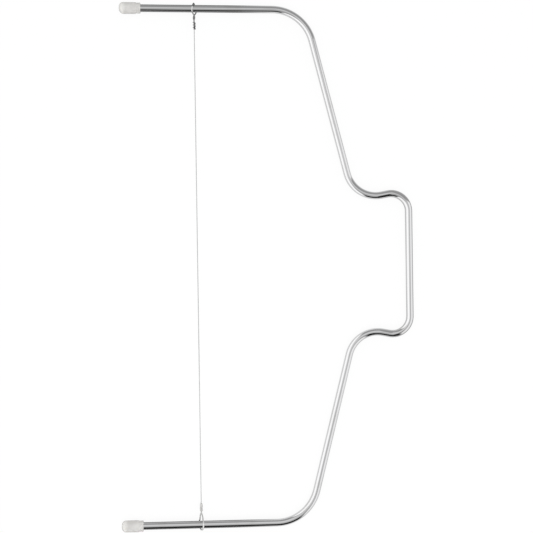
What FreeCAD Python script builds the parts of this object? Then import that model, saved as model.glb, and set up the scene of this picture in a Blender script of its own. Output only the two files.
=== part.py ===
import FreeCAD, Part
import math
import os

# A cake leveler lying flat: feet towards -X, handle towards +X, one arm at each end of Y.
# Lengths are in millimetres and angles in degrees.

# Bent rod: corner places are where the centre lines of two straight runs would meet.
rod_dia = 4.0
arm_spacing = 280.0
arm_reach = 101.0
leg_reach = 26.7
handle_depth = 30.2
shoulder_spacing = 69.8
handle_length = 81.0
arm_bend_radius = 22.6
shoulder_bend_radius = 16.2
handle_bend_radius = 9.7
rod_end_chamfer = 0.5

# Foot caps, pushed over the rod's ends
foot_dia = 6.2
foot_length = 11.6
foot_end_wall = 1.6
foot_dome_depth = 2.3
foot_flat_dia = 1.4
foot_bore_clearance = 0.02
collar_length = 2.9
collar_step = 0.2
lip_round = 0.5
groove_count = 2
groove_width = 0.5
groove_depth = 0.15

# Cutting wire, and the height of each end above the feet as it was last set
cutting_wire_dia = 0.4
upper_height = 40.65
lower_height = 42.6
wire_tuck = 0.3

# End loops: an eye round the arm, strands that meet or cross, then two straight legs
loop_wire_dia = 0.65
loop_clearance = 0.3
loop_turn_deg = 22.0
upper_far_turn_deg = 14.0
lower_far_turn_deg = 24.0
leave_angle_deg = 45.0
eye_length = 1.67
twist_length = 2.0
twist_middle_share = 0.5
upper_strand_gap = 0.55
lower_strand_gap = 0.6
upper_meet_deg = 62.0
lower_meet_deg = 22.0
neck_length = 0.7
leg_clearance = 0.1

# Binding of the wire to the legs: open turns at the upper end, a crimped sleeve at the lower
bind_length = 4.2
wrap_wire_dia = 0.42
wrap_clearance = 0.03
wrap_passes = 3
sleeve_wall = 0.4
sleeve_chamfer = 0.3
sleeve_bore_clearance = 0.01

# Finding edges, sampling a tube's line, and how finely small round forms are faceted
match_tolerance = 0.001
samples_per_edge = 12
wire_sides = 8
dome_rings = 6
lip_rings = 2

# Places that follow from the sizes above
rod_radius = rod_dia / 2
rod_height = foot_dia / 2
overall_length = arm_reach + leg_reach + handle_depth + rod_radius
feet_x = -overall_length / 2
arm_y = arm_spacing / 2
rod_end_x = feet_x + foot_end_wall
upper_x = feet_x + upper_height
lower_x = feet_x + lower_height
wire_span = math.hypot(arm_spacing, lower_x - upper_x)
wire_lean_deg = math.degrees(math.atan2(lower_x - upper_x, arm_spacing))
half_turn_deg = 180.0
quarter_turn_deg = 90.0

loop_radius = (rod_radius + loop_clearance + loop_wire_dia / 2) / math.cos(math.radians(loop_turn_deg))
leg_offset = (cutting_wire_dia + loop_wire_dia) / 2 + leg_clearance
cross_place = loop_radius + eye_length
twist_end = cross_place + twist_length
bind_start = twist_end + neck_length
bind_end = bind_start + bind_length


def rounded_path(corners, radii):
    """Join the corners with straight runs and round each inner corner by its radius."""
    edges = []
    last = corners[0]
    for before, corner, after, radius in zip(corners, corners[1:], corners[2:], radii):
        back = (before - corner).normalize()
        ahead = (after - corner).normalize()
        half_angle = back.getAngle(ahead) / 2
        inward = (back + ahead).normalize()
        start = corner + back * (radius / math.tan(half_angle))
        end = corner + ahead * (radius / math.tan(half_angle))
        middle = corner + inward * (radius / math.sin(half_angle) - radius)
        edges.append(Part.LineSegment(last, start).toShape())
        edges.append(Part.Arc(start, middle, end).toShape())
        last = end
    edges.append(Part.LineSegment(last, corners[-1]).toShape())
    return Part.Wire(edges)


def arc_from_tangents(start, meeting, end):
    """Arc from start to end whose end tangents meet at one point, or a line if they are in line."""
    to_chord = (start + end) / 2 - meeting
    if to_chord.Length < match_tolerance:
        return Part.LineSegment(start, end).toShape()
    reach = (start - meeting).Length
    half_angle = (start - meeting).getAngle(to_chord)
    depth = reach / math.cos(half_angle) - reach * math.tan(half_angle)
    middle = meeting + to_chord.normalize() * depth
    return Part.Arc(start, middle, end).toShape()


def biarc_path(nodes):
    """Join (point, direction) nodes by pairs of tangent arcs into one smooth line."""
    edges = []
    for (start, leaving), (end, arriving) in zip(nodes, nodes[1:]):
        chord = end - start
        both = leaving + arriving
        # Equal tangent lengths on both arcs solve a * reach^2 + b * reach + c = 0.
        a = both.dot(both) - 4
        b = -2 * chord.dot(both)
        c = chord.dot(chord)
        reach = 2 * c / (math.sqrt(b * b - 4 * a * c) - b)
        first = start + leaving * reach
        second = end - arriving * reach
        joint = (first + second) / 2
        edges.append(arc_from_tangents(start, first, joint))
        edges.append(arc_from_tangents(joint, second, end))
    return Part.Wire(edges)


def wire_along(name, path, start, direction, diameter):
    """Thin wire of many flat sides along a path, printed with its least gap to itself and its volume."""
    corners = Part.makeCircle(diameter / 2, start, direction).discretize(wire_sides + 1)
    section = Part.makePolygon(corners)
    wire = path.makePipeShell([section], True, False)

    points = []
    travelled = 0
    for edge in path.Edges:
        for point in edge.discretize(samples_per_edge)[1:]:
            if points:
                travelled += (point - points[-1][1]).Length
            points.append((travelled, point))
    skip = math.pi * diameter
    gaps = []
    for index, (place, point) in enumerate(points):
        for later_place, later in points[index:]:
            if later_place - place > skip:
                gaps.append((later - point).Length - diameter)
    volume = Part.Face(section).Area * path.Length
    print(f"{name}: least gap {min(gaps):.2f}, volume {wire.Volume:.3f}, section times length {volume:.3f}")
    return wire


def neck_point(along, across, aside, turn_deg=0):
    """Point of an end loop: along its neck, then across and aside in a frame turned about the neck."""
    turn = math.radians(turn_deg)
    x = -across * math.sin(turn) - aside * math.cos(turn)
    z = across * math.cos(turn) - aside * math.sin(turn)
    return FreeCAD.Vector(x, -along, z)


def frame_rod():
    """One rod bent into arms, legs, shoulders and handle, the lower half mirroring the upper."""
    leg_top_x = feet_x + arm_reach
    shoulder_x = leg_top_x + leg_reach
    handle_x = shoulder_x + handle_depth
    half = [
        (rod_end_x, arm_y),
        (leg_top_x, arm_y),
        (shoulder_x, shoulder_spacing / 2),
        (handle_x, handle_length / 2),
    ]
    whole = half + [(x, -y) for x, y in reversed(half)]
    corners = [FreeCAD.Vector(x, y, rod_height) for x, y in whole]
    bends = [arm_bend_radius, shoulder_bend_radius, handle_bend_radius]
    path = rounded_path(corners, bends + bends[::-1])
    section = Part.Wire(Part.makeCircle(rod_radius, corners[0], FreeCAD.Vector(1, 0, 0)).Edges)
    rod = path.makePipeShell([section], True, False)
    rims = [edge for edge in rod.Edges if abs(edge.BoundBox.XMax - rod_end_x) < match_tolerance]
    return rod.makeChamfer(rod_end_chamfer, rims)


def foot_cap():
    """Vinyl cap about the X axis, its end face at zero, with a grooved collar at its mouth."""
    outer = foot_dia / 2
    collar = outer - collar_step
    flat = foot_flat_dia / 2
    bore = rod_radius + foot_bore_clearance
    shoulder = foot_length - collar_length

    outline = []
    for number in range(dome_rings + 1):
        lift = math.pi / 2 * number / dome_rings
        x = foot_dome_depth - foot_dome_depth * math.cos(lift)
        outline.append((x, flat + (outer - flat) * math.sin(lift)))
    outline.append((shoulder, outer))
    outline.append((shoulder + collar_step, collar))
    groove_pitch = (collar_length - collar_step - lip_round) / (groove_count + 1)
    for number in range(groove_count):
        middle = shoulder + collar_step + groove_pitch * (number + 1)
        outline.append((middle - groove_width / 2, collar))
        outline.append((middle, collar - groove_depth))
        outline.append((middle + groove_width / 2, collar))
    for number in range(lip_rings + 1):
        lift = math.pi / 2 * number / lip_rings
        x = foot_length - lip_round + lip_round * math.sin(lift)
        outline.append((x, collar - lip_round + lip_round * math.cos(lift)))
    outline.append((foot_length, bore))
    outline.append((foot_end_wall, bore))
    outline.append((foot_end_wall, 0))
    outline.append((0, 0))

    points = [FreeCAD.Vector(x, radius, 0) for x, radius in outline]
    profile = Part.Face(Part.makePolygon(points + points[:1]))
    return profile.revolve(FreeCAD.Vector(0, 0, 0), FreeCAD.Vector(1, 0, 0), 2 * half_turn_deg)


def eye_node(side, angle_deg, far_turn_deg):
    """Point of an eye at an angle from its far side, and the way on towards that far side."""
    angle = math.radians(angle_deg)
    # The eye is turned about its neck, by one angle at its far side and by another over the arm.
    more_deg = loop_turn_deg - far_turn_deg
    turn_deg = loop_turn_deg - more_deg * math.cos(angle)
    across = side * math.sin(angle)
    sweep = across * math.sin(angle) * math.radians(more_deg)
    point = neck_point(-loop_radius * math.cos(angle), loop_radius * across, 0, turn_deg)
    way = neck_point(-math.sin(angle), -side * math.cos(angle), -sweep, turn_deg)
    return point, way.normalize()


def end_loop(name, strand_gap, far_turn_deg, meet_deg, leg_deg):
    """Wire eye round an arm on the X axis, its strands twisted between two angles, its legs along -Y."""
    offset = (loop_wire_dia + strand_gap) / 2
    twist_deg = leg_deg - meet_deg
    climb = -math.radians(twist_deg) * offset / twist_length
    neck = neck_point(1, 0, 0)
    strands = []
    for side in (1, -1):
        strand = []
        for along in (bind_end, bind_start):
            strand.append((neck_point(along, 0, -side * leg_offset, leg_deg), -neck))
        for share, rise in ((1, 0), (twist_middle_share, climb), (0, climb)):
            turn_deg = meet_deg + twist_deg * share
            along = cross_place + twist_length * share
            way = neck_point(-1, side * rise, 0, turn_deg).normalize()
            strand.append((neck_point(along, 0, -side * offset, turn_deg), way))
        strand.append(eye_node(side, half_turn_deg - leave_angle_deg, far_turn_deg))
        strand.append(eye_node(side, quarter_turn_deg, far_turn_deg))
        strands.append(strand)
    going, coming = strands
    nodes = going + [eye_node(1, 0, far_turn_deg)] + [(point, -way) for point, way in reversed(coming)]
    return wire_along(name, biarc_path(nodes), nodes[0][0], nodes[0][1], loop_wire_dia)


def binding_wrap():
    """Open turns of binding wire round the two legs of a loop and the cutting wire between them."""
    bend = loop_wire_dia / 2 + wrap_clearance + wrap_wire_dia / 2
    flat = 2 * leg_offset
    quarter = math.pi * bend / 2
    # One turn: each corner's place across and aside, its way, and the run to the next corner.
    turn = [
        (-leg_offset, bend, (1, 0), flat),
        (leg_offset, bend, (1, 0), quarter),
        (leg_offset + bend, 0, (0, -1), quarter),
        (leg_offset, -bend, (-1, 0), flat),
        (-leg_offset, -bend, (-1, 0), quarter),
        (-leg_offset - bend, 0, (0, 1), quarter),
    ]
    around = sum(run for across, aside, way, run in turn)
    # The last pass over the top ends on the way down, so both cut ends point down.
    wound = around * (wrap_passes - 1) + 2 * flat + 2 * quarter
    slope = (bind_length - wrap_wire_dia) / wound
    along = bind_start + wrap_wire_dia / 2
    nodes = []
    for across, aside, way, run in turn * (wrap_passes - 1) + turn[:5]:
        direction = neck_point(slope, way[0], way[1]).normalize()
        nodes.append((neck_point(along, across, aside), direction))
        along += slope * run
    return wire_along("binding wrap", biarc_path(nodes), nodes[0][0], nodes[0][1], wrap_wire_dia)


def crimp_sleeve():
    """Flattened sleeve pressed round the two legs of a loop and the cutting wire between them."""
    half_width = loop_wire_dia / 2 + sleeve_wall
    corners = []
    for across, aside in ((1, 1), (1, -1), (-1, -1), (-1, 1)):
        corners.append(neck_point(bind_start, across * leg_offset, aside * half_width))
    edges = []
    for side, first in ((1, 0), (-1, 2)):
        top = neck_point(bind_start, side * (leg_offset + half_width), 0)
        edges.append(Part.Arc(corners[first], top, corners[first + 1]).toShape())
        edges.append(Part.LineSegment(corners[first + 1], corners[(first + 2) % 4]).toShape())
    neck = neck_point(1, 0, 0)
    sleeve = Part.Face(Part.Wire(edges)).extrude(neck * bind_length)
    rims = [edge for edge in sleeve.Edges if edge.BoundBox.YLength < match_tolerance]
    sleeve = sleeve.makeChamfer(sleeve_chamfer, rims)
    for across, diameter in ((leg_offset, loop_wire_dia), (-leg_offset, loop_wire_dia), (0, cutting_wire_dia)):
        bore = diameter / 2 + sleeve_bore_clearance
        sleeve = sleeve.cut(Part.makeCylinder(bore, bind_length, neck_point(bind_start, across, 0), neck))
    return sleeve


def cutting_wire():
    """Taut wire from inside one binding to inside the other, along -Y from the upper arm."""
    tucked = bind_start + wire_tuck
    length = wire_span - 2 * tucked
    return Part.makeCylinder(cutting_wire_dia / 2, length, neck_point(tucked, 0, 0), neck_point(1, 0, 0))


def placed(shape, x, y, turn_deg):
    """Copy of a shape at a place on the rod's level, turned about the vertical."""
    copy = shape.copy()
    turn = FreeCAD.Rotation(FreeCAD.Vector(0, 0, 1), turn_deg)
    copy.Placement = FreeCAD.Placement(FreeCAD.Vector(x, y, rod_height), turn)
    return copy


def build_pieces():
    """Every piece at its place, by name."""
    cap = foot_cap()
    # The legs lie one above the other: the upper strands twist up to that place, the lower ones down.
    upright_deg = quarter_turn_deg
    upper_loop = end_loop("upper loop", upper_strand_gap, upper_far_turn_deg, upper_meet_deg, upright_deg)
    lower_loop = end_loop("lower loop", lower_strand_gap, lower_far_turn_deg, lower_meet_deg, -upright_deg)
    lower_turn_deg = wire_lean_deg + half_turn_deg
    return {
        "frame": frame_rod(),
        "upper_foot": placed(cap, feet_x, arm_y, 0),
        "lower_foot": placed(cap, feet_x, -arm_y, 0),
        "upper_loop": placed(upper_loop, upper_x, arm_y, wire_lean_deg),
        "upper_wrap": placed(binding_wrap(), upper_x, arm_y, wire_lean_deg),
        "cutting_wire": placed(cutting_wire(), upper_x, arm_y, wire_lean_deg),
        "lower_loop": placed(lower_loop, lower_x, -arm_y, lower_turn_deg),
        "lower_sleeve": placed(crimp_sleeve(), lower_x, -arm_y, lower_turn_deg),
    }


os.makedirs("parts", exist_ok=True)
for name, shape in build_pieces().items():
    shape.exportStep(f"parts/{name}.step")
    box = shape.BoundBox
    print(f"{name}: valid {shape.isValid()}, solids {len(shape.Solids)}, volume {shape.Volume:.2f},"
          f" x {box.XMin:.2f} to {box.XMax:.2f}, y {box.YMin:.2f} to {box.YMax:.2f},"
          f" z {box.ZMin:.2f} to {box.ZMax:.2f}")
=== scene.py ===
import math

import bmesh
import bpy
from bpy.props import FloatProperty, FloatVectorProperty, IntProperty, PointerProperty
from bpy.types import NodeSocket, Operator, Panel, PropertyGroup
from mathutils import Euler, Matrix, Vector
from mathutils.geometry import interpolate_bezier


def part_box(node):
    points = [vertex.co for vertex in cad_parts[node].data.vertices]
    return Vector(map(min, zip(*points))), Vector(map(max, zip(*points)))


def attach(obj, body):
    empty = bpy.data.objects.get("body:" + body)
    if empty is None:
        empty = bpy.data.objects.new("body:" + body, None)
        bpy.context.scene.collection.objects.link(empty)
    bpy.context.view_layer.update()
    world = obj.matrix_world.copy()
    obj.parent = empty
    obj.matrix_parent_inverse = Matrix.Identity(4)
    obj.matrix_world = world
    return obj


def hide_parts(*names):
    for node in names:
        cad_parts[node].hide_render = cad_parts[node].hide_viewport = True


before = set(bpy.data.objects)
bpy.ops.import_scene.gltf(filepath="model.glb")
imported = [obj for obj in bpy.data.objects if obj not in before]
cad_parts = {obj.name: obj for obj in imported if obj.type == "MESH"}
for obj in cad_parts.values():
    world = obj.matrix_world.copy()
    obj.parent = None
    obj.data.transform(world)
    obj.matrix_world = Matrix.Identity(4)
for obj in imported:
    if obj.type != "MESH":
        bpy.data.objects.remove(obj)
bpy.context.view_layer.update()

bl_info = {
    "name": "Cake Leveler",
    "version": (1, 0, 0),
    "blender": (4, 5, 0),
    "location": "View3D > Sidebar > Leveler",
    "description": "Builds the bent rod, caps, wire and loops of a cake leveler over its CAD frame",
    "category": "Add Mesh",
}

# Sizes that the CAD frame gives
cap_low, cap_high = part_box("upper_foot")
rod_low, rod_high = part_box("frame")
wire_low, wire_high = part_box("cutting_wire")


def length_prop(name, description, default):
    """A length in metres that the sidebar shows in the scene's unit."""
    return FloatProperty(name=name, description=description, default=default, min=0, unit="LENGTH",
                         precision=5)


def angle_prop(name, description, degrees):
    """An angle that the sidebar shows in degrees."""
    return FloatProperty(name=name, description=description, default=math.radians(degrees), subtype="ANGLE")


def share_prop(name, description, default):
    """A share between nothing and all."""
    return FloatProperty(name=name, description=description, default=default, min=0, max=1,
                         subtype="FACTOR")


def tone_prop(name, description, default):
    """A brightness, where one is white."""
    return FloatProperty(name=name, description=description, default=default, min=0)


def power_prop(name, description, default):
    """A lamp's power."""
    return FloatProperty(name=name, description=description, default=default, min=0, unit="POWER")


def count_prop(name, description, default):
    """A whole number, at least one."""
    return IntProperty(name=name, description=description, default=default, min=1)


def colour_prop(name, description, default):
    """A linear colour."""
    return FloatVectorProperty(name=name, description=description, default=default, min=0, max=1,
                               subtype="COLOR")


def place_prop(name, description, default):
    """A place in the scene."""
    return FloatVectorProperty(name=name, description=description, default=default, subtype="TRANSLATION",
                               precision=6)


class RodSizes(PropertyGroup):
    """The bent rod: corner places are where the centre lines of two straight runs would meet."""
    feet_x: FloatProperty(name="Feet", description="Where the caps end along X", default=cap_low.x,
                          unit="LENGTH")
    arm_y: length_prop("Arm", "Distance of each arm from the middle", (cap_low.y + cap_high.y) / 2)
    height: length_prop("Height", "Height of the rod's centre line", (cap_low.z + cap_high.z) / 2)
    diameter: length_prop("Diameter", "Thickness of the rod", rod_high.z - rod_low.z)
    arm_reach: length_prop("Arm reach", "From the caps' ends to the legs' corners", 0.1010)
    leg_reach: length_prop("Leg reach", "From the legs' corners to the shoulders", 0.0267)
    handle_depth: length_prop("Handle depth", "From the shoulders to the handle", 0.0302)
    shoulder_y: length_prop("Shoulder", "Distance of each shoulder corner from the middle", 0.0349)
    handle_y: length_prop("Handle", "Distance of each handle corner from the middle", 0.0405)
    arm_bend: length_prop("Arm bend", "Bend radius between arm and leg", 0.0226)
    shoulder_bend: length_prop("Shoulder bend", "Bend radius between leg and shoulder", 0.0162)
    handle_bend: length_prop("Handle bend", "Bend radius at the handle's corners", 0.0097)
    plate: colour_prop("Chrome", "Colour of the bright plating", (0.83, 0.83, 0.835))
    smudge: colour_prop("Smudge", "Colour of the plating under a film of handling", (0.76, 0.755, 0.75))


class CapSizes(PropertyGroup):
    """The soft caps on the rod's ends."""
    diameter: length_prop("Diameter", "Outside of the cap", cap_high.z - cap_low.z)
    length: length_prop("Length", "Length of the cap", cap_high.x - cap_low.x)
    end_wall: length_prop("End wall", "Solid vinyl between the cap's end and the rod", 0.0016)
    bore_clearance: length_prop("Bore clearance", "Room between the rod and the bore's wall", 0.00002)
    dome: length_prop("Dome", "Depth of the domed end", 0.0023)
    flat: length_prop("Flat", "Diameter of the small flat that stands on the table", 0.0014)
    collar: length_prop("Collar", "Length of the narrower collar at the mouth", 0.0029)
    collar_step: length_prop("Collar step", "How far the collar is set in", 0.0002)
    lip: length_prop("Lip", "Rounding of the mouth", 0.0005)
    groove_width: length_prop("Groove width", "Width of each groove in the collar", 0.0005)
    groove_depth: length_prop("Groove depth", "Depth of each groove in the collar", 0.00015)
    grooves: count_prop("Grooves", "Grooves round the collar", 2)
    vinyl: colour_prop("Vinyl", "Milky colour over the rod", (0.615, 0.602, 0.585))
    cloud: colour_prop("Cloud", "Paler clouding in the vinyl", (0.675, 0.664, 0.646))
    solid_end: colour_prop("Solid end", "Paler colour where no rod is inside", (0.755, 0.745, 0.722))


class WireSizes(PropertyGroup):
    """The cutting wire, the end loops and their bindings."""
    diameter: length_prop("Wire", "Thickness of the cutting wire", wire_high.z - wire_low.z)
    upper_height: length_prop("Upper height", "Upper end of the wire above the caps' ends", 0.04065)
    lower_height: length_prop("Lower height", "Lower end of the wire above the caps' ends", 0.0426)
    tuck: length_prop("Tuck", "How far inside a binding the wire starts", 0.0003)
    loop_diameter: length_prop("Loop wire", "Thickness of the loops' wire", 0.00065)
    loop_clearance: length_prop("Loop clearance", "Room between an eye and its arm", 0.0003)
    loop_turn: angle_prop("Loop turn", "How far an eye is turned about its neck over its arm", 22)
    upper_far: angle_prop("Upper far turn", "How far the upper eye is turned at its far side", 8)
    lower_far: angle_prop("Lower far turn", "How far the lower eye is turned at its far side", 24)
    upper_near: angle_prop("Upper near turn", "How far the upper eye is turned towards its neck", 37)
    lower_near: angle_prop("Lower near turn", "How far the lower eye is turned towards its neck", 32)
    leave_angle: angle_prop("Leave angle", "Where the strands leave the eye", 45)
    eye: length_prop("Eye", "From the eye's circle to where the strands cross or part", 0.00167)
    twist: length_prop("Twist", "From there to where the strands lie as the legs do", 0.0020)
    upper_later: length_prop("Upper later", "How much further along the upper loop's strands cross", 0.0009)
    upper_gap: length_prop("Upper gap", "Room between the upper loop's strands", 0.00055)
    lower_gap: length_prop("Lower gap", "Room between the lower loop's strands", 0.00075)
    upper_meet: angle_prop("Upper meeting", "How the upper loop's strands lie where they cross", 62)
    lower_meet: angle_prop("Lower meeting", "How the lower loop's strands lie where they part", 150)
    legs: angle_prop("Legs", "How a loop's legs lie in their binding", 90)
    neck: length_prop("Neck", "Straight legs before a binding", 0.0007)
    leg_clearance: length_prop("Leg clearance", "Room between the wire and each leg", 0.0001)
    binding: length_prop("Binding", "Length of each binding", 0.0042)
    turn_diameter: length_prop("Turn wire", "Thickness of the binding turns", 0.00042)
    turn_clearance: length_prop("Turn clearance", "Room between the turns and the legs", 0.00003)
    turns: count_prop("Turns", "Passes of the binding over the top", 3)
    sleeve_wall: length_prop("Sleeve wall", "Thickness of the crimped sleeve", 0.0004)
    sleeve_round: length_prop("Sleeve round", "Rounding of the sleeve's rims", 0.0003)
    sleeve_taper: length_prop("Sleeve taper", "Length of the sleeve's pressed end towards the wire", 0.0009)
    dents: count_prop("Dents", "Dents along each flat of the sleeve", 3)
    dent_depth: length_prop("Dent depth", "Depth of the pressed dents", 0.00008)
    wire: colour_prop("Fine wire", "Colour of the cutting wire", (0.72, 0.72, 0.72))
    # Painted shade: the neck colours are mixed in along each loop away from the bright part over its arm,
    # and the upper one also colours the binding turns
    upper_steel: colour_prop("Upper steel", "Colour of the upper loop over its arm", (0.92, 0.92, 0.91))
    upper_shade: colour_prop("Upper neck", "Darker colour of its neck and of the turns", (0.28, 0.28, 0.28))
    lower_steel: colour_prop("Lower steel", "Colour of the brighter lower loop", (0.94, 0.94, 0.93))
    lower_shade: colour_prop("Lower neck", "Duller colour of the lower loop's neck", (0.56, 0.56, 0.55))
    sleeve: colour_prop("Sleeve", "Colour of the crimped sleeve", (0.70, 0.69, 0.675))
    sleeve_rim: colour_prop("Sleeve rim", "Brighter colour of the sleeve's rims", (0.78, 0.77, 0.75))


class StageSettings(PropertyGroup):
    """Floor, room, lamps and camera."""
    floor_size: length_prop("Floor size", "Side of the floor", 8.0)
    floor: colour_prop("Floor", "Colour of the floor", (0.97, 0.97, 0.97))
    floor_white: share_prop("Floor white", "How far the floor is lifted to white in the picture", 0.90)
    # Painted shade that only the metal shows: the floor's greys in reflections, set by place
    floor_mirrored: share_prop("Floor mirrored", "How far the metal shows the floor in these greys", 0.90)
    floor_handle: share_prop("Floor at the handle", "Grey inside the legs and the handle", 0.72)
    floor_beyond: share_prop("Floor beyond", "Grey beyond the legs and the handle", 0.36)
    floor_feet: share_prop("Floor at the feet", "Grey at the arms", 0.14)
    floor_lower: share_prop("Floor by the lower arm", "Grey inside the lower arm", 0.60)
    sky: share_prop("Sky", "Strength of the even light from all round", 0.88)
    room_lower: tone_prop("Room beyond the lower arm", "Tone of the room there in the metal", 0.015)
    room_upper: tone_prop("Room beyond the upper arm", "Tone of the room there in the metal", 0.34)
    room_feet: tone_prop("Room beyond the caps", "Tone of the room there in the metal", 1.15)
    room_handle: tone_prop("Room beyond the handle", "Tone of the room there in the metal", 0.95)
    panel_power: power_prop("Panel", "Power of the overhead panel", 0.230)
    panel_size: FloatVectorProperty(name="Panel size", description="Sides of the overhead panel", size=2,
                                    default=(0.29, 0.666), unit="LENGTH")
    panel_place: place_prop("Panel place", "Where the overhead panel hangs", (0.025, -0.057, 0.417))
    key_power: power_prop("Key", "Power of the soft lamp", 2.4)
    key_size: length_prop("Key size", "Side of the soft lamp", 0.80)
    key_place: place_prop("Key place", "Where the soft lamp hangs", (-0.15, -0.55, 1.10))
    camera_place: place_prop("Camera place", "Where the camera stands", (-0.046948, -0.018332, 0.601156))
    camera_turn: FloatVectorProperty(name="Camera turn", description="How the camera is turned",
                                     default=(0.029396, -0.076571, -0.009680), subtype="EULER", precision=6)
    lens: FloatProperty(name="Lens", description="Focal length in millimetres", default=74.358, min=1)
    near_limit: length_prop("Near limit", "Distance at which the camera begins to see", 0.01)


# How finely round forms are divided: points round a ring, then the turn or the steps between rings
ROD_SIDES = 32
CAP_SIDES = 48
LOOP_SIDES = 16
FINE_SIDES = 14
SLEEVE_SIDES = 48
ROD_STEP = math.radians(4)
LOOP_STEP = math.radians(8)
TURN_STEP = math.radians(10)
DOME_STEPS = 12
COLLAR_STEPS = 4
GROOVE_STEPS = 8
LIP_STEPS = 7
LENGTH_STEPS = 40

# Edges that turn further than this stay sharp in the shading
SHARP_EDGE = math.radians(50)

# Rounding of a cut end, in shares of the thickness
ROD_ROUNDING = 1 / 8
WIRE_ROUNDING = 1 / 10

# Rings at a cut end, in shares of its rounding: how far along the tube, and how much narrower
CUT_STEPS = [(0, 1), (0.29, 0.29), (1, 0), (1.5, 0)]

# Handle of a cubic curve along an arc, in shares of the tangent to half that arc
ARC_HANDLE = 4 / 3


# Lines, rings and skins

def shares(count):
    """Even shares from nothing to all."""
    return [number / count for number in range(count + 1)]


def smooth_line(nodes, step_angle):
    """Points of a line through (point, direction) nodes, closer together where it turns."""
    points = [nodes[0][0]]
    for (start, leaving), (end, arriving) in zip(nodes, nodes[1:]):
        chord = end - start
        both = leaving + arriving
        # Two arcs from node to node have equal tangents, whose length solves this quadratic
        square = both.dot(both) - 4
        linear = -2 * chord.dot(both)
        constant = chord.dot(chord)
        tangent = 2 * constant / (math.sqrt(linear ** 2 - 4 * square * constant) - linear)
        handle = ARC_HANDLE * tangent
        turning = leaving.angle(chord) + arriving.angle(chord)
        count = 2 + math.ceil(turning / step_angle)
        curve = interpolate_bezier(start, start + leaving * handle, end - arriving * handle, end, count)
        points += curve[1:]
    return points


def ring_frames(points, up):
    """(point, tangent, side, up) along a line, turned as little as possible from one to the next."""
    tangents = []
    for index in range(len(points)):
        before = points[max(index - 1, 0)]
        after = points[min(index + 1, len(points) - 1)]
        tangents.append((after - before).normalized())
    side = up.cross(tangents[0]).normalized()
    frames = []
    for index, (point, tangent) in enumerate(zip(points, tangents)):
        if index:
            side.rotate(tangents[index - 1].rotation_difference(tangent))
        frames.append((point, tangent, side.copy(), tangent.cross(side)))
    return frames


def round_ring(point, side, up, radius, sides):
    """Points of one circle."""
    angles = [2 * math.pi * number / sides for number in range(sides)]
    return [point + (side * math.cos(angle) + up * math.sin(angle)) * radius for angle in angles]


def skin(name, rings, places):
    """Closed smooth mesh through rings of points, with u round each ring and v at the given places."""
    work = bmesh.new()
    layer = work.loops.layers.uv.new("UVMap")
    verts = [[work.verts.new(point) for point in ring] for ring in rings]
    count = len(rings[0])
    for ring, after, low, high in zip(verts, verts[1:], places, places[1:]):
        for index in range(count):
            other = (index + 1) % count
            face = work.faces.new((ring[index], ring[other], after[other], after[index]))
            corners = ((index, low), (index + 1, low), (index + 1, high), (index, high))
            for loop, (around, along) in zip(face.loops, corners):
                loop[layer].uv = (around / count, along)
    work.faces.new(reversed(verts[0]))
    work.faces.new(verts[-1])
    bmesh.ops.recalc_face_normals(work, faces=work.faces)
    mesh = bpy.data.meshes.new(name)
    work.to_mesh(mesh)
    work.free()
    mesh.shade_smooth()
    mesh.set_sharp_from_angle(angle=SHARP_EDGE)
    return mesh


def round_tube(name, points, diameter, sides, rounding_share):
    """Tube of one thickness along a line, its two cut ends slightly rounded."""
    radius = diameter / 2
    rounding = diameter * rounding_share
    frames = ring_frames(points, Vector((0, 0, 1)))
    rings = []
    places = []
    travelled = 0
    last = points[0]
    for index, (point, tangent, side, up) in enumerate(frames):
        travelled += (point - last).length
        last = point
        # The way into the tube: onwards at its first end, back at its last, and none between
        inwards = {0: 1, len(frames) - 1: -1}.get(index, 0)
        steps = CUT_STEPS if inwards else [(0, 0)]
        for along, narrower in steps[::inwards or 1]:
            inset = inwards * rounding * along
            rings.append(round_ring(point + tangent * inset, side, up, radius - rounding * narrower, sides))
            places.append((travelled + inset) / (2 * math.pi * radius))
    return skin(name, rings, places)


def add_object(name, data):
    """Put an object in the scene, in place of an older one of that name."""
    old = bpy.data.objects.get(name)
    if old:
        bpy.data.objects.remove(old)
    item = bpy.data.objects.new(name, data)
    bpy.context.scene.collection.objects.link(item)
    return item


def add_piece(name, mesh, material, body, node):
    """Put a mesh in the scene in place of a CAD node, riding on that node's body."""
    piece = add_object(name, mesh)
    mesh.materials.append(material)
    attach(piece, body)
    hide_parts(node)


# Nodes that the finishes and the stage are wired from

# Colour sockets of a Mix node, which has others for its other kinds of data
MIX_SHARE = 0
MIX_FIRST = 6
MIX_SECOND = 7
MIX_RESULT = 2

WHITE = (1, 1, 1, 1)


def feed(tree, socket, item):
    """Give an input a plain value, or link another node's output to it."""
    if isinstance(item, NodeSocket):
        tree.links.new(item, socket)
    else:
        socket.default_value = item


def add_node(tree, kind, inputs=None, **settings):
    """One node with its settings and with what its inputs get."""
    node = tree.nodes.new(kind)
    for key, value in settings.items():
        setattr(node, key, value)
    for key, item in (inputs or {}).items():
        feed(tree, node.inputs[key], item)
    return node


def reckon(tree, operation, *items):
    """Result of one sum."""
    return add_node(tree, "ShaderNodeMath", dict(enumerate(items)), operation=operation).outputs[0]


def ramp(tree, value, limits, results=(0.0, 1.0), easing="SMOOTHSTEP"):
    """Value that goes from one result to the other while the given one goes between its limits."""
    low, high = limits
    first, last = results
    inputs = {"Value": value, "From Min": low, "From Max": high, "To Min": first, "To Max": last}
    return add_node(tree, "ShaderNodeMapRange", inputs, interpolation_type=easing).outputs["Result"]


def mix_colours(tree, share, first, second):
    """Colour between two, by a share."""
    inputs = {MIX_SHARE: share, MIX_FIRST: first, MIX_SECOND: second}
    return add_node(tree, "ShaderNodeMix", inputs, data_type="RGBA").outputs[MIX_RESULT]


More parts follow.
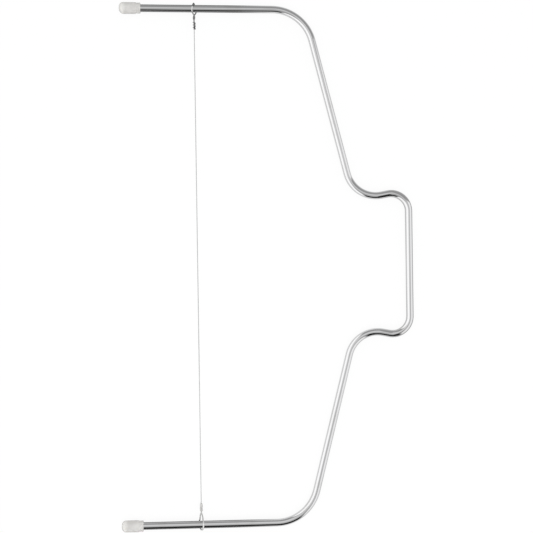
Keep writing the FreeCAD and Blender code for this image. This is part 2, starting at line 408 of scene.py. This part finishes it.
def split_uv(tree):
    """u as X and v as Y over a skin."""
    uv = add_node(tree, "ShaderNodeUVMap", uv_map="UVMap")
    return add_node(tree, "ShaderNodeSeparateXYZ", {0: uv.outputs["UV"]}).outputs


def split_place(tree, kind):
    """X, Y and Z in one kind of texture coordinates."""
    place = add_node(tree, "ShaderNodeTexCoord")
    return add_node(tree, "ShaderNodeSeparateXYZ", {0: place.outputs[kind]}).outputs


def opaque(colour):
    """Colour with full opacity."""
    return (*colour, 1.0)


def dulled(colour, share):
    """A share of a colour, with full opacity."""
    return opaque([share * part for part in colour])


# Node groups that several finishes share

def new_group(name, inputs, outputs):
    """Empty shader node group with named numbers going in and out."""
    group = bpy.data.node_groups.new(name, "ShaderNodeTree")
    for label, default in inputs.items():
        socket = group.interface.new_socket(label, in_out="INPUT", socket_type="NodeSocketFloat")
        socket.default_value = default
    for label in outputs:
        group.interface.new_socket(label, in_out="OUTPUT", socket_type="NodeSocketFloat")
    return group, group.nodes.new("NodeGroupInput").outputs, group.nodes.new("NodeGroupOutput").inputs


def handling_marks(name):
    """Group: patches where fingers left a thin film, at a size given per metre, and a finer grain."""
    group, given, out = new_group(name, {"Scale": 70.0, "Cover": 0.5}, ["Film", "Grain"])
    patch_edge = 0.22
    grain_fineness = 14.0
    place = add_node(group, "ShaderNodeTexCoord").outputs["Object"]
    patches = add_node(group, "ShaderNodeTexNoise", {
        "Vector": place,
        "Scale": given["Scale"],
        "Detail": 3.0,
        "Roughness": 0.55,
        "Distortion": 0.4,
    })
    full = reckon(group, "ADD", given["Cover"], patch_edge)
    finer = reckon(group, "MULTIPLY", given["Scale"], grain_fineness)
    grain = add_node(group, "ShaderNodeTexNoise", {"Vector": place, "Scale": finer, "Detail": 2.0})
    feed(group, out["Film"], ramp(group, patches.outputs["Fac"], (given["Cover"], full)))
    feed(group, out["Grain"], grain.outputs["Fac"])
    return group


def drawn_lines(name):
    """Group: fine lines along a drawn rod or wire, without a seam where u closes."""
    group, given, out = new_group(name, {"Lines": 6.0, "Stretch": 0.05}, ["Height", "Mask"])
    mask_limits = (0.45, 0.62)
    uv = split_uv(group)
    angle = reckon(group, "MULTIPLY", uv["X"], 2 * math.pi)
    place = add_node(group, "ShaderNodeCombineXYZ", {
        "X": reckon(group, "COSINE", angle),
        "Y": reckon(group, "SINE", angle),
        "Z": reckon(group, "MULTIPLY", uv["Y"], given["Stretch"]),
    })
    lines = add_node(group, "ShaderNodeTexNoise", {
        "Vector": place.outputs["Vector"],
        "Scale": given["Lines"],
        "Detail": 2.0,
        "Roughness": 0.6,
    })
    feed(group, out["Height"], lines.outputs["Fac"])
    feed(group, out["Mask"], ramp(group, lines.outputs["Fac"], mask_limits))
    return group


def place_group(tree, name, maker, **inputs):
    """Outputs of a shared group in a material, with that material's own values."""
    group = bpy.data.node_groups.get(name) or maker(name)
    return add_node(tree, "ShaderNodeGroup", inputs, node_tree=group).outputs


# Finishes

def new_finish(name, inputs):
    """Material with a Principled shader whose plain values are set on its own sockets."""
    old = bpy.data.materials.get(name)
    if old:
        bpy.data.materials.remove(old)
    material = bpy.data.materials.new(name)
    material.use_nodes = True
    tree = material.node_tree
    surface = tree.nodes["Principled BSDF"].inputs
    for key, value in inputs.items():
        feed(tree, surface[key], value)
    return material, tree, surface


def roughen(tree, surface, mask, low, high):
    """Roughness from low to high, by a mask."""
    feed(tree, surface["Roughness"], ramp(tree, mask, (0.0, 1.0), (low, high), "LINEAR"))


def emboss(tree, surface, height, strength, distance):
    """Relief from a height."""
    bump = add_node(tree, "ShaderNodeBump", {"Height": height, "Strength": strength, "Distance": distance})
    feed(tree, surface["Normal"], bump.outputs["Normal"])


def bright_chrome(sizes):
    """Mirror plating with a faint film from handling and the last traces of drawing lines."""
    material, tree, surface = new_finish("Bright Chrome", {"Metallic": 1.0})
    marks = place_group(tree, "Handling Marks", handling_marks, Scale=70.0, Cover=0.5)
    lines = place_group(tree, "Drawn Lines", drawn_lines, Lines=5.0, Stretch=0.03)
    tint = mix_colours(tree, marks["Film"], opaque(sizes.plate), opaque(sizes.smudge))
    feed(tree, surface["Base Color"], tint)
    roughen(tree, surface, marks["Film"], low=0.03, high=0.09)
    emboss(tree, surface, lines["Height"], strength=0.04, distance=0.00002)
    return material


def milky_vinyl(sizes):
    """Soft clouded vinyl under a clear skin, paler at the closed end, with a fine moulded grain."""
    material, tree, surface = new_finish("Milky Vinyl", {
        "Subsurface Weight": 0.25,
        "Subsurface Radius": (1.0, 0.97, 0.90),
        "Subsurface Scale": 0.0015,
        "Coat Weight": 0.9,
        "Coat Roughness": 0.16,
        "Coat IOR": 1.6,
    })
    marks = place_group(tree, "Handling Marks", handling_marks, Scale=260.0, Cover=0.42)
    end = sizes.end_wall / sizes.length
    fade = 2.4 * end
    solid = ramp(tree, split_uv(tree)["Y"], (end, fade), (1.0, 0.0))
    body = mix_colours(tree, marks["Film"], opaque(sizes.vinyl), opaque(sizes.cloud))
    feed(tree, surface["Base Color"], mix_colours(tree, solid, body, opaque(sizes.solid_end)))
    roughen(tree, surface, marks["Grain"], low=0.38, high=0.56)
    emboss(tree, surface, marks["Grain"], strength=0.08, distance=0.00005)
    return material


def drawn_steel(name, colour, metallic, line_scale, low, high):
    """Drawn wire, bare or clouded, duller in the lines that the die left along it."""
    material, tree, surface = new_finish(name, {"Metallic": metallic})
    marks = place_group(tree, "Handling Marks", handling_marks, Scale=400.0, Cover=0.48)
    lines = place_group(tree, "Drawn Lines", drawn_lines, Lines=line_scale, Stretch=0.12)
    tint = mix_colours(tree, lines["Mask"], opaque(colour), dulled(colour, share=0.72))
    feed(tree, surface["Base Color"], tint)
    roughen(tree, surface, marks["Film"], low, high)
    emboss(tree, surface, lines["Height"], strength=0.10, distance=0.00001)
    return material


# Painted shade along a loop, in shares of its eye's radius: how far below its arm in Y the bright middle
# lies, and the distances from that middle at which the painted shade begins and is full
UPPER_LOOP_SHADE = (0.35, 0.35, 0.75)
LOWER_LOOP_SHADE = (0.4, 0.9, 1.6)


def paint_loop_shade(material, colour, arm_y, radius, shade_shares):
    """Paint shade on a loop: darker along Y, by its distance from a bright middle."""
    below, start, stop = [share * radius for share in shade_shares]
    tree = material.node_tree
    base = tree.nodes["Principled BSDF"].inputs["Base Color"]
    offset = reckon(tree, "SUBTRACT", split_place(tree, "Object")["Y"], arm_y - below)
    share = ramp(tree, reckon(tree, "ABSOLUTE", offset), (start, stop))
    feed(tree, base, mix_colours(tree, share, base.links[0].from_socket, opaque(colour)))


def crimped_metal(sizes):
    """Dull plated sleeve with a fine grain, rubbed brighter at its rims."""
    material, tree, surface = new_finish("Crimped Metal", {"Metallic": 0.55})
    marks = place_group(tree, "Handling Marks", handling_marks, Scale=500.0, Cover=0.45)
    middle = 0.5
    rim_limits = (0.38, 0.47)
    away = reckon(tree, "ABSOLUTE", reckon(tree, "SUBTRACT", split_uv(tree)["Y"], middle))
    rim = ramp(tree, away, rim_limits)
    body = mix_colours(tree, marks["Film"], opaque(sizes.sleeve), dulled(sizes.sleeve, share=0.80))
    feed(tree, surface["Base Color"], mix_colours(tree, rim, body, opaque(sizes.sleeve_rim)))
    roughen(tree, surface, marks["Grain"], low=0.28, high=0.48)
    emboss(tree, surface, marks["Grain"], strength=0.12, distance=0.00002)
    return material


# Routes of the rod and of the loops

def rod_nodes(rod, end_wall):
    """(point, direction) at both ends of the rod and of each bend."""
    leg_x = rod.feet_x + rod.arm_reach
    shoulder_x = leg_x + rod.leg_reach
    half = [
        (rod.feet_x + end_wall, rod.arm_y),
        (leg_x, rod.arm_y),
        (shoulder_x, rod.shoulder_y),
        (shoulder_x + rod.handle_depth, rod.handle_y),
    ]
    whole = half + [(x, -y) for x, y in reversed(half)]
    corners = [Vector((x, y, rod.height)) for x, y in whole]
    bends = [rod.arm_bend, rod.shoulder_bend, rod.handle_bend]
    nodes = [(corners[0], (corners[1] - corners[0]).normalized())]
    for before, corner, after, radius in zip(corners, corners[1:], corners[2:], bends + bends[::-1]):
        arriving = (corner - before).normalized()
        leaving = (after - corner).normalized()
        reach = radius * math.tan(arriving.angle(leaving) / 2)
        nodes.append((corner - arriving * reach, arriving))
        nodes.append((corner + leaving * reach, leaving))
    nodes.append((corners[-1], nodes[-1][1]))
    return nodes


class LoopRoute:
    """Places along an end loop's neck, in metres from the arm's centre line."""

    def __init__(self, rod, wire):
        room = rod.diameter / 2 + wire.loop_clearance + wire.loop_diameter / 2
        self.radius = room / math.cos(wire.loop_turn)
        self.leg_offset = (wire.diameter + wire.loop_diameter) / 2 + wire.leg_clearance
        self.cross = self.radius + wire.eye
        self.bind_start = self.cross + wire.twist + wire.neck
        self.bind_end = self.bind_start + wire.binding
        self.upper = Vector((rod.feet_x + wire.upper_height, rod.arm_y, rod.height))
        self.lower = Vector((rod.feet_x + wire.lower_height, -rod.arm_y, rod.height))
        along = self.lower - self.upper
        self.span = along.length
        self.lean = math.atan2(along.x, -along.y)

    def upper_place(self):
        """Matrix that puts the upper loop on its arm."""
        return Matrix.Translation(self.upper) @ Matrix.Rotation(self.lean, 4, "Z")

    def lower_place(self):
        """Matrix that puts the lower loop on its arm."""
        return Matrix.Translation(self.lower) @ Matrix.Rotation(self.lean + math.pi, 4, "Z")


def neck_point(along, across, aside, turn=0.0):
    """Point of an end loop: along its neck, then across and aside in a frame turned about the neck."""
    x = -across * math.sin(turn) - aside * math.cos(turn)
    z = across * math.cos(turn) - aside * math.sin(turn)
    return Vector((x, -along, z))


def eye_node(route, wire, spread, side, angle):
    """Point of an eye at an angle from its far side, and the way on towards that far side."""
    turn = wire.loop_turn - spread * math.cos(angle)
    across = side * math.sin(angle)
    sweep = across * math.sin(angle) * spread
    point = neck_point(-route.radius * math.cos(angle), route.radius * across, 0, turn)
    way = neck_point(-math.sin(angle), -side * math.cos(angle), -sweep, turn)
    return point, way.normalized()


def loop_nodes(route, wire, gap, far, near, meet, later=0.0):
    """(point, direction) along an end loop: leg, twist, eye, twist, leg."""
    offset = (wire.loop_diameter + gap) / 2
    cross = route.cross + later
    twist = wire.twist - later
    climb = (meet - wire.legs) * offset / twist
    far_spread = wire.loop_turn - far
    near_spread = near - wire.loop_turn
    neck = neck_point(1, 0, 0)
    strands = []
    for side in (1, -1):
        strand = []
        for along in (route.bind_end, route.bind_start):
            strand.append((neck_point(along, 0, -side * route.leg_offset, wire.legs), -neck))
        for share, rise in ((1, 0), (0.5, climb), (0, climb)):
            turn = meet + (wire.legs - meet) * share
            way = neck_point(-1, side * rise, 0, turn).normalized()
            strand.append((neck_point(cross + twist * share, 0, -side * offset, turn), way))
        strand.append(eye_node(route, wire, near_spread, side, math.pi - wire.leave_angle))
        strand.append(eye_node(route, wire, far_spread, side, math.pi / 2))
        strands.append(strand)
    going, coming = strands
    back = [(point, -way) for point, way in reversed(coming)]
    return going + [eye_node(route, wire, far_spread, 1, 0)] + back


def turn_nodes(route, wire):
    """(point, direction) along the open binding turns, round both legs."""
    bend = wire.loop_diameter / 2 + wire.turn_clearance + wire.turn_diameter / 2
    offset = route.leg_offset
    flat = 2 * offset
    quarter = math.pi * bend / 2
    turn = [
        (-offset, bend, (1, 0), flat),
        (offset, bend, (1, 0), quarter),
        (offset + bend, 0, (0, -1), quarter),
        (offset, -bend, (-1, 0), flat),
        (-offset, -bend, (-1, 0), quarter),
        (-offset - bend, 0, (0, 1), quarter),
    ]
    last_turn = turn[:5]
    runs = turn * (wire.turns - 1) + last_turn
    wound = sum(run for across, aside, way, run in runs[:-1])
    slope = (wire.binding - wire.turn_diameter) / wound
    along = route.bind_start + wire.turn_diameter / 2
    nodes = []
    for across, aside, way, run in runs:
        nodes.append((neck_point(along, across, aside), neck_point(slope, *way).normalized()))
        along += slope * run
    return nodes


# One operator for each piece or pair of like pieces

class LEVELER_OT_rod(Operator):
    """Sweep the bright rod along its arms, legs, shoulders and handle"""
    bl_idname = "leveler.rod"
    bl_label = "Bent rod"
    bl_options = {"REGISTER", "UNDO"}

    def execute(self, context):
        rod = context.scene.leveler_rod
        points = smooth_line(rod_nodes(rod, context.scene.leveler_cap.end_wall), ROD_STEP)
        mesh = round_tube("bent_rod", points, rod.diameter, ROD_SIDES, ROD_ROUNDING)
        add_piece("bent_rod", mesh, bright_chrome(rod), "frame_body", "frame")
        return {"FINISHED"}


class LEVELER_OT_caps(Operator):
    """Turn a soft cap on each end of the rod, with its domed end and grooved collar"""
    bl_idname = "leveler.caps"
    bl_label = "End caps"
    bl_options = {"REGISTER", "UNDO"}

    def outline(self, cap, bore):
        """(x, radius) from the closed end to the mouth and a little way into the bore."""
        outer = cap.diameter / 2
        flat = cap.flat / 2
        collar = outer - cap.collar_step
        shoulder = cap.length - cap.collar
        step_length = 3 * cap.collar_step
        inner_lip = cap.lip / 4
        points = [(0, flat / 4)]
        for share in shares(DOME_STEPS):
            lift = math.pi / 2 * share
            points.append((cap.dome * (1 - math.cos(lift)), flat + (outer - flat) * math.sin(lift)))
        for share in shares(COLLAR_STEPS):
            drop = cap.collar_step * (3 * share ** 2 - 2 * share ** 3)
            points.append((shoulder + step_length * share, outer - drop))
        pitch = (cap.collar - cap.collar_step - cap.lip) / (cap.grooves + 1)
        for groove in range(cap.grooves):
            middle = shoulder + cap.collar_step + pitch * (groove + 1)
            for share in shares(GROOVE_STEPS):
                depth = cap.groove_depth * (1 - math.cos(2 * math.pi * share)) / 2
                points.append((middle + cap.groove_width * (share - 0.5), collar - depth))
        for share in shares(LIP_STEPS):
            lift = math.pi / 2 * share
            x = cap.length - cap.lip * (1 - math.sin(lift))
            points.append((x, collar - cap.lip * (1 - math.cos(lift))))
        points.append((cap.length, bore + inner_lip))
        points.append((cap.length - inner_lip, bore))
        points.append((cap.length - cap.lip, bore))
        return points

    def execute(self, context):
        rod = context.scene.leveler_rod
        cap = context.scene.leveler_cap
        vinyl = milky_vinyl(cap)
        outline = self.outline(cap, rod.diameter / 2 + cap.bore_clearance)
        places = [x / cap.length for x, radius in outline]
        side = Vector((0, 1, 0))
        up = Vector((0, 0, 1))
        for name, node, arm_y in (
            ("upper_cap", "upper_foot", rod.arm_y),
            ("lower_cap", "lower_foot", -rod.arm_y),
        ):
            rings = []
            for x, radius in outline:
                middle = Vector((rod.feet_x + x, arm_y, rod.height))
                rings.append(round_ring(middle, side, up, radius, CAP_SIDES))
            add_piece(name, skin(name, rings, places), vinyl, "frame_body", node)
        return {"FINISHED"}


class LEVELER_OT_loops(Operator):
    """Form the two wire eyes round the arms, the upper one's strands crossed and the lower one's parted"""
    bl_idname = "leveler.loops"
    bl_label = "End loops"
    bl_options = {"REGISTER", "UNDO"}

    def execute(self, context):
        wire = context.scene.leveler_wire
        route = LoopRoute(context.scene.leveler_rod, wire)
        # dark and bright name the loops' painted shade: the upper loop is shaded deeply at its neck and far
        # side, the lower one more palely at its neck, and both stay bright over their arms
        dark = drawn_steel("Upper Loop Steel", wire.upper_steel, metallic=1.0, line_scale=4.0,
                           low=0.22, high=0.36)
        paint_loop_shade(dark, wire.upper_shade, route.upper.y, route.radius, UPPER_LOOP_SHADE)
        bright = drawn_steel("Lower Loop Steel", wire.lower_steel, metallic=0.6, line_scale=4.0,
                             low=0.30, high=0.44)
        paint_loop_shade(bright, wire.lower_shade, route.lower.y, route.radius, LOWER_LOOP_SHADE)
        upper = loop_nodes(route, wire, wire.upper_gap, wire.upper_far, wire.upper_near, wire.upper_meet,
                           wire.upper_later)
        lower = loop_nodes(route, wire, wire.lower_gap, wire.lower_far, wire.lower_near, wire.lower_meet)
        for name, node, body, steel, nodes, place in (
            ("upper_eye", "upper_loop", "upper_end", dark, upper, route.upper_place()),
            ("lower_eye", "lower_loop", "wire_set", bright, lower, route.lower_place()),
        ):
            points = [place @ point for point in smooth_line(nodes, LOOP_STEP)]
            mesh = round_tube(name, points, wire.loop_diameter, LOOP_SIDES, WIRE_ROUNDING)
            add_piece(name, mesh, steel, body, node)
        return {"FINISHED"}


class LEVELER_OT_turns(Operator):
    """Wind the open binding turns round the upper loop's legs"""
    bl_idname = "leveler.turns"
    bl_label = "Binding turns"
    bl_options = {"REGISTER", "UNDO"}

    def execute(self, context):
        wire = context.scene.leveler_wire
        route = LoopRoute(context.scene.leveler_rod, wire)
        place = route.upper_place()
        # Painted shade: the binding turns take the upper loop's dark shade colour all over
        steel = drawn_steel("Binding Steel", wire.upper_shade, metallic=1.0, line_scale=4.0,
                            low=0.20, high=0.34)
        points = [place @ point for point in smooth_line(turn_nodes(route, wire), TURN_STEP)]
        mesh = round_tube("upper_turns", points, wire.turn_diameter, FINE_SIDES, WIRE_ROUNDING)
        add_piece("upper_turns", mesh, steel, "upper_end", "upper_wrap")
        return {"FINISHED"}


class LEVELER_OT_sleeve(Operator):
    """Press the crimped sleeve round the lower loop's legs"""
    bl_idname = "leveler.sleeve"
    bl_label = "Crimped sleeve"
    bl_options = {"REGISTER", "UNDO"}

    # How quickly a ring's points pass the flats, how narrow a dent is, and each end's share without dents
    flat_speed = 1.6
    dent_power = 4
    plain_share = 0.1

    def ring(self, along, offset, half_width, dent):
        """Points round the sleeve at one place, its two flats pressed in by a dent."""
        points = []
        for number in range(SLEEVE_SIDES):
            angle = 2 * math.pi * (number + 0.5) / SLEEVE_SIDES
            across = half_width * math.sin(angle)
            across += offset * max(-1.0, min(1.0, self.flat_speed * math.sin(angle)))
            press = dent * math.cos(angle) ** self.dent_power
            aside = half_width * math.cos(angle) - math.copysign(press, math.cos(angle))
            points.append(neck_point(along, across, aside))
        return points

    def execute(self, context):
        wire = context.scene.leveler_wire
        route = LoopRoute(context.scene.leveler_rod, wire)
        place = route.lower_place()
        half_width = wire.loop_diameter / 2 + wire.sleeve_wall
        pressed = wire.sleeve_wall / 2
        rim = wire.sleeve_round
        rings = []
        for share in shares(LENGTH_STEPS):
            along = wire.binding * share
            left = wire.binding - along
            drop = rim - math.sqrt(max(0.0, rim ** 2 - (rim - min(along, left, rim)) ** 2))
            drop += pressed * max(0.0, 1 - left / wire.sleeve_taper) ** 2
            dent = 0.0
            if self.plain_share < share < 1 - self.plain_share:
                dent = wire.dent_depth * max(0.0, -math.cos(2 * math.pi * wire.dents * share))
            ring = self.ring(route.bind_start + along, route.leg_offset, half_width - drop, dent)
            rings.append([place @ point for point in ring])
        mesh = skin("lower_crimp", rings, shares(LENGTH_STEPS))
        add_piece("lower_crimp", mesh, crimped_metal(wire), "wire_set", "lower_sleeve")
        return {"FINISHED"}


class LEVELER_OT_wire(Operator):
    """Stretch the cutting wire from one binding to the other"""
    bl_idname = "leveler.wire"
    bl_label = "Cutting wire"
    bl_options = {"REGISTER", "UNDO"}

    def execute(self, context):
        wire = context.scene.leveler_wire
        route = LoopRoute(context.scene.leveler_rod, wire)
        place = route.upper_place()
        steel = drawn_steel("Fine Wire", wire.wire, metallic=1.0, line_scale=3.0, low=0.18, high=0.30)
        start = route.bind_start + wire.tuck
        length = route.span - 2 * start
        points = [place @ neck_point(start + length * share, 0, 0) for share in shares(LENGTH_STEPS)]
        mesh = round_tube("taut_wire", points, wire.diameter, FINE_SIDES, WIRE_ROUNDING)
        add_piece("taut_wire", mesh, steel, "wire_set", "cutting_wire")
        return {"FINISHED"}


# Where the floor's painted shade in the metal changes its grey, in metres: along X inside the legs, past
# the legs' slant, and on either side of a paler strip along the lower arm
INSIDE_LIMITS = (-0.02, 0.01)
BEYOND_LIMITS = (0.062, 0.095)
STRIP_Y = -0.095
STRIP_LIMITS = (0.025, 0.045)

# Where the room in the metal changes its tone, in shares of a direction's X or Y
ENDS_LIMITS = (-0.6, 0.3)
SIDES_LIMITS = (-0.6, 0.6)
ASIDE_LIMITS = (0.30, 0.48)

# How the dim part of the room moves towards the handle's side beyond the lower arm, and widens
# towards it beyond the upper arm
SHIFT_LIMITS = (-0.8, -0.5)
SHIFT = (0.15, 0.0)
WIDEN_LIMITS = (0.2, 0.5)
WIDEN = (1.0, 0.3)


class LEVELER_OT_stage(Operator):
    """Lay the pale floor, hang the soft light and set the camera over the leveler"""
    bl_idname = "leveler.stage"
    bl_label = "Stage"
    bl_options = {"REGISTER", "UNDO"}

    def seen_directly(self, tree, path):
        """One for rays from the camera or through glass, and nothing for others."""
        return reckon(tree, "MAXIMUM", path["Is Camera Ray"], path["Is Transmission Ray"])

    def floor_greys(self, tree, stage, rod):
        """Painted shade of the floor that only the metal shows: its grey by its place."""
        place = split_place(tree, "Object")
        slant = rod.leg_reach / (rod.arm_y - rod.shoulder_y)
        inside = ramp(tree, place["X"], INSIDE_LIMITS, (stage.floor_feet, stage.floor_handle))
        past = reckon(tree, "MULTIPLY_ADD", reckon(tree, "ABSOLUTE", place["Y"]), slant, place["X"])
        grey = ramp(tree, past, BEYOND_LIMITS, (inside, stage.floor_beyond))
        away = reckon(tree, "ABSOLUTE", reckon(tree, "SUBTRACT", place["Y"], STRIP_Y))
        strip = ramp(tree, away, STRIP_LIMITS, (stage.floor_lower, 0.0))
        return reckon(tree, "MAXIMUM", grey, strip)

    def floor(self, stage, rod):
        """Large pale floor that keeps shadows, white in the picture and with painted grey shade in the
        metal.
        """
        half = stage.floor_size / 2
        corners = [(-half, -half, 0), (half, -half, 0), (half, half, 0), (-half, half, 0)]
        mesh = bpy.data.meshes.new("floor")
        mesh.from_pydata(corners, [], [(0, 1, 2, 3)])
        floor = add_object("floor", mesh)
        material = bpy.data.materials.new("Pale Floor")
        material.use_nodes = True
        tree = material.node_tree
        tree.nodes.remove(tree.nodes["Principled BSDF"])
        path = add_node(tree, "ShaderNodeLightPath").outputs
        white = reckon(tree, "MULTIPLY", self.seen_directly(tree, path), stage.floor_white)
        lifted = reckon(tree, "MULTIPLY_ADD", path["Is Glossy Ray"], stage.floor_mirrored, white)
        tone = mix_colours(tree, path["Is Glossy Ray"], WHITE, self.floor_greys(tree, stage, rod))
        plain = add_node(tree, "ShaderNodeBsdfDiffuse", {"Color": opaque(stage.floor)})
        glow = add_node(tree, "ShaderNodeEmission", {"Color": tone, "Strength": 1.0})
        mixed = add_node(tree, "ShaderNodeMixShader", {0: lifted, 1: plain.outputs[0], 2: glow.outputs[0]})
        feed(tree, tree.nodes["Material Output"].inputs["Surface"], mixed.outputs[0])
        mesh.materials.append(material)

    def surroundings(self, stage):
        """Room that lights evenly, in the metal bright at both sides and dimmer beyond the arms."""
        world = bpy.data.worlds.new("Studio")
        bpy.context.scene.world = world
        world.use_nodes = True
        tree = world.node_tree
        way = split_place(tree, "Generated")
        ends = ramp(tree, way["Y"], ENDS_LIMITS, (stage.room_lower, stage.room_upper))
        sides = ramp(tree, way["X"], SIDES_LIMITS, (stage.room_feet, stage.room_handle), "LINEAR")
        offset = reckon(tree, "SUBTRACT", way["X"], ramp(tree, way["Y"], SHIFT_LIMITS, SHIFT, "LINEAR"))
        handle = reckon(tree, "MULTIPLY", offset, ramp(tree, way["Y"], WIDEN_LIMITS, WIDEN, "LINEAR"))
        feet = reckon(tree, "MULTIPLY", offset, -1.0)
        aside = ramp(tree, reckon(tree, "MAXIMUM", handle, feet), ASIDE_LIMITS)
        room = mix_colours(tree, aside, ends, sides)
        path = add_node(tree, "ShaderNodeLightPath").outputs
        even = opaque([stage.sky] * 3)
        mirrored = mix_colours(tree, path["Is Glossy Ray"], even, room)
        seen = mix_colours(tree, self.seen_directly(tree, path), mirrored, WHITE)
        feed(tree, tree.nodes["Background"].inputs["Color"], seen)

    def lamp(self, name, power, sides, place):
        """Soft rectangular lamp that faces down."""
        light = bpy.data.lights.new(name, "AREA")
        light.shape = "RECTANGLE"
        light.size, light.size_y = sides
        light.energy = power
        lamp = add_object(name, light)
        lamp.location = place
        return lamp

    def lamps(self, stage):
        """Overhead panel that the rod's upper side mirrors, and a broad lamp high beyond the lower arm."""
        panel = self.lamp("panel", stage.panel_power, stage.panel_size, stage.panel_place)
        panel.visible_camera = False
        key = self.lamp("key", stage.key_power, (stage.key_size, stage.key_size), stage.key_place)
        key.rotation_euler = (-Vector(stage.key_place)).to_track_quat("-Z", "Y").to_euler()
        key.visible_glossy = False

    def camera(self, stage):
        """Camera over the leveler, slightly towards the caps."""
        lens = bpy.data.cameras.new("camera")
        lens.lens = stage.lens
        lens.clip_start = stage.near_limit
        camera = add_object("camera", lens)
        camera.location = stage.camera_place
        camera.rotation_euler = Euler(stage.camera_turn)
        bpy.context.scene.camera = camera

    def execute(self, context):
        stage = context.scene.leveler_stage
        context.scene.view_settings.view_transform = "Standard"
        self.floor(stage, context.scene.leveler_rod)
        self.surroundings(stage)
        self.lamps(stage)
        self.camera(stage)
        return {"FINISHED"}


class LEVELER_PT_sidebar(Panel):
    """Sizes and colours of the leveler, and the operators that build it"""
    bl_idname = "LEVELER_PT_sidebar"
    bl_label = "Cake Leveler"
    bl_space_type = "VIEW_3D"
    bl_region_type = "UI"
    bl_category = "Leveler"

    def draw(self, context):
        for operator in OPERATORS:
            self.layout.operator(operator.bl_idname)
        for label, group in GROUPS.items():
            box = self.layout.box()
            box.label(text=label.replace("leveler_", "").title())
            settings = getattr(context.scene, label)
            for key in group.__annotations__:
                box.prop(settings, key)


GROUPS = {
    "leveler_rod": RodSizes,
    "leveler_cap": CapSizes,
    "leveler_wire": WireSizes,
    "leveler_stage": StageSettings,
}
OPERATORS = (
    LEVELER_OT_rod,
    LEVELER_OT_caps,
    LEVELER_OT_loops,
    LEVELER_OT_turns,
    LEVELER_OT_sleeve,
    LEVELER_OT_wire,
    LEVELER_OT_stage,
)


def register():
    """Register the classes and hang the settings on the scene."""
    for group in GROUPS.values():
        bpy.utils.register_class(group)
    for label, group in GROUPS.items():
        setattr(bpy.types.Scene, label, PointerProperty(type=group))
    for item in (*OPERATORS, LEVELER_PT_sidebar):
        bpy.utils.register_class(item)


def unregister():
    """Take the classes and settings away again."""
    for item in (LEVELER_PT_sidebar, *reversed(OPERATORS)):
        bpy.utils.unregister_class(item)
    for label, group in reversed(GROUPS.items()):
        delattr(bpy.types.Scene, label)
        bpy.utils.unregister_class(group)


def main():
    """Build every piece and the stage."""
    register()
    bpy.ops.leveler.rod()
    bpy.ops.leveler.caps()
    bpy.ops.leveler.loops()
    bpy.ops.leveler.turns()
    bpy.ops.leveler.sleeve()
    bpy.ops.leveler.wire()
    bpy.ops.leveler.stage()


if __name__ == "__main__":
    main()
